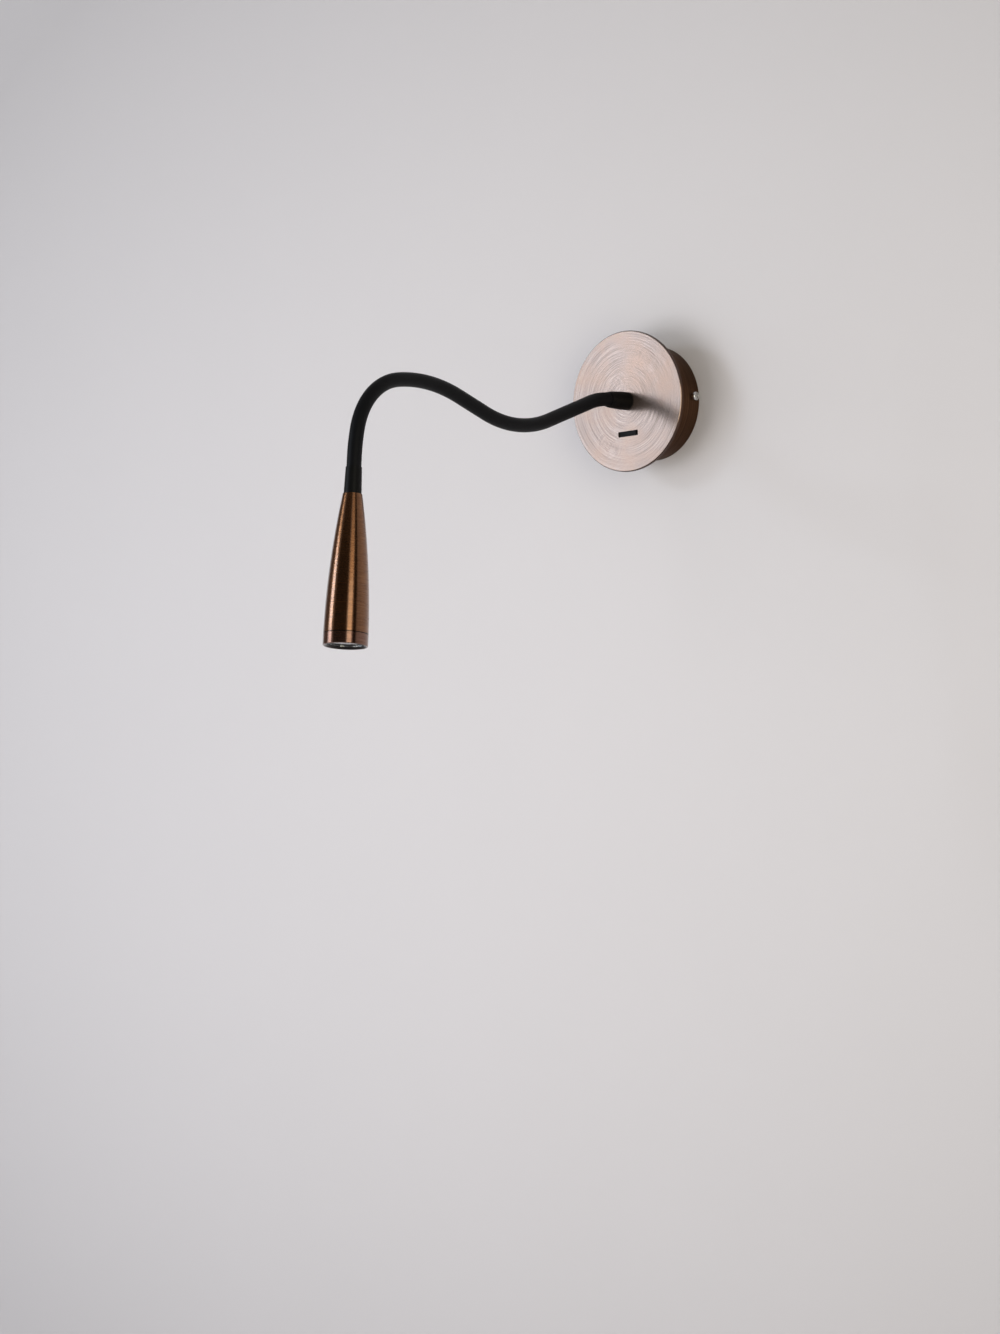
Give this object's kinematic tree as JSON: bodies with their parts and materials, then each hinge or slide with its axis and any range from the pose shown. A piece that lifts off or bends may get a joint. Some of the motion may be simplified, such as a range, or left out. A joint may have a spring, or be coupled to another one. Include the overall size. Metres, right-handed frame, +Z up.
{
  "type": "wall reading lamp",
  "caption": "Wall reading lamp: round plate on a drum base with a slim rocker switch, flexible gooseneck arm and a slim tapered spot head.",
  "frame": {"origin": "on the wall plane, behind the middle of the round base, at the centre of the two wall screw slots", "axes": "+Y into the wall, -Y out into the room, +Z up, +X to the right as seen from the room"},
  "size_m": [0.08, 0.2756, 0.1832],
  "materials": {
    "plate_copper": "brushed red-copper plating, satin",
    "drum_bronze": "brushed dark bronze plating, satin",
    "head_bronze": "brushed red-bronze plating, satin",
    "sleeve_black": "matt black rubber",
    "collar_black": "satin black",
    "conduit_steel": "interlocked steel hose",
    "zinc_steel": "bright zinc plating",
    "brass": "bare brass",
    "black_plastic": "moulded black plastic",
    "white_plastic": "moulded white plastic",
    "bush_rubber": "black rubber",
    "lead_black": "black flexible insulation",
    "lead_brown": "brown insulation",
    "lead_blue": "blue insulation",
    "lead_green": "green and yellow insulation",
    "sink_aluminium": "turned aluminium",
    "board_white": "white lacquered board",
    "emitter_yellow": "yellow phosphor",
    "optic_clear": "clear moulded lens",
    "cover_glass": "clear glass"
  },
  "bodies": {
    "wall_base": {"wall_bracket": "zinc_steel", "cable_bush": "bush_rubber", "earth_screw": "zinc_steel", "side_screws": "zinc_steel", "base_drum": "drum_bronze", "front_plate": "plate_copper", "terminal_block": "white_plastic", "terminal_screws": "brass", "block_screw": "zinc_steel", "switch_housing": "black_plastic", "switch_screws": "zinc_steel", "switch_tabs": "brass", "driver_pad": "bush_rubber", "driver_case": "white_plastic", "neck_nipple": "zinc_steel", "lock_washer": "zinc_steel", "neck_nut": "zinc_steel", "base_collar": "collar_black", "neck_sleeve_base": "sleeve_black", "neck_conduit_base": "conduit_steel", "neck_lead_base": "lead_black", "live_leads": "lead_brown", "neutral_lead": "lead_blue", "earth_lead": "lead_green"},
    "rocker": {"switch_rocker": "black_plastic"},
    "neck_1": {"neck_sleeve_1": "sleeve_black", "neck_conduit_1": "conduit_steel", "neck_lead_1": "lead_black"},
    "neck_2": {"neck_sleeve_2": "sleeve_black", "neck_conduit_2": "conduit_steel", "neck_lead_2": "lead_black"},
    "neck_3": {"neck_sleeve_3": "sleeve_black", "neck_conduit_3": "conduit_steel", "neck_lead_3": "lead_black"},
    "neck_4": {"neck_sleeve_4": "sleeve_black", "neck_conduit_4": "conduit_steel", "neck_lead_4": "lead_black"},
    "neck_5": {"neck_sleeve_5": "sleeve_black", "neck_conduit_5": "conduit_steel", "neck_lead_5": "lead_black"},
    "neck_6": {"neck_sleeve_6": "sleeve_black", "neck_conduit_6": "conduit_steel", "neck_lead_6": "lead_black"},
    "neck_7": {"neck_sleeve_7": "sleeve_black", "neck_conduit_7": "conduit_steel", "neck_lead_7": "lead_black"},
    "head": {"neck_sleeve_head": "sleeve_black", "neck_conduit_head": "conduit_steel", "neck_lead_head": "lead_black", "head_collar": "collar_black", "head_shell": "head_bronze", "head_nipple": "zinc_steel", "heat_sink": "sink_aluminium", "led_board": "board_white", "led_screws": "zinc_steel", "led_emitter": "emitter_yellow", "optic_holder": "white_plastic", "optic": "optic_clear", "cover_glass": "cover_glass", "bezel_ring": "head_bronze"}
  },
  "joints": [
    {"name": "switch_rock", "type": "hinge", "parent": "wall_base", "child": "rocker", "pos_m": [0, -0.0226, -0.0185], "axis": [0, 0, 1], "range_deg": [0, 14]},
    {"name": "neck_swing_1", "type": "hinge", "parent": "wall_base", "child": "neck_1", "pos_m": [0, -0.04917, -0.00059], "axis": [0, -0.1535, 0.9881], "range_deg": [-25, 25]},
    {"name": "neck_lift_2", "type": "hinge", "parent": "neck_1", "child": "neck_2", "pos_m": [0, -0.08012, -0.0102], "axis": [1, 0, 0], "range_deg": [-25, 25]},
    {"name": "neck_swing_3", "type": "hinge", "parent": "neck_2", "child": "neck_3", "pos_m": [0, -0.11139, -0.01848], "axis": [0, -0.092, 0.9958], "range_deg": [-25, 25]},
    {"name": "neck_lift_4", "type": "hinge", "parent": "neck_3", "child": "neck_4", "pos_m": [0, -0.14339, -0.01478], "axis": [1, 0, 0], "range_deg": [-25, 25]},
    {"name": "neck_swing_5", "type": "hinge", "parent": "neck_4", "child": "neck_5", "pos_m": [0, -0.17383, -0.00357], "axis": [0, 0.2872, 0.9579], "range_deg": [-25, 25]},
    {"name": "neck_lift_6", "type": "hinge", "parent": "neck_5", "child": "neck_6", "pos_m": [0, -0.20586, 0.00064], "axis": [1, 0, 0], "range_deg": [-25, 25]},
    {"name": "neck_swing_7", "type": "hinge", "parent": "neck_6", "child": "neck_7", "pos_m": [0, -0.23579, -0.0097], "axis": [0, -0.6693, 0.743], "range_deg": [-25, 25]},
    {"name": "neck_lift_8", "type": "hinge", "parent": "neck_7", "child": "head", "pos_m": [0, -0.24968, -0.03829], "axis": [1, 0, 0], "range_deg": [-25, 25]}
  ]
}
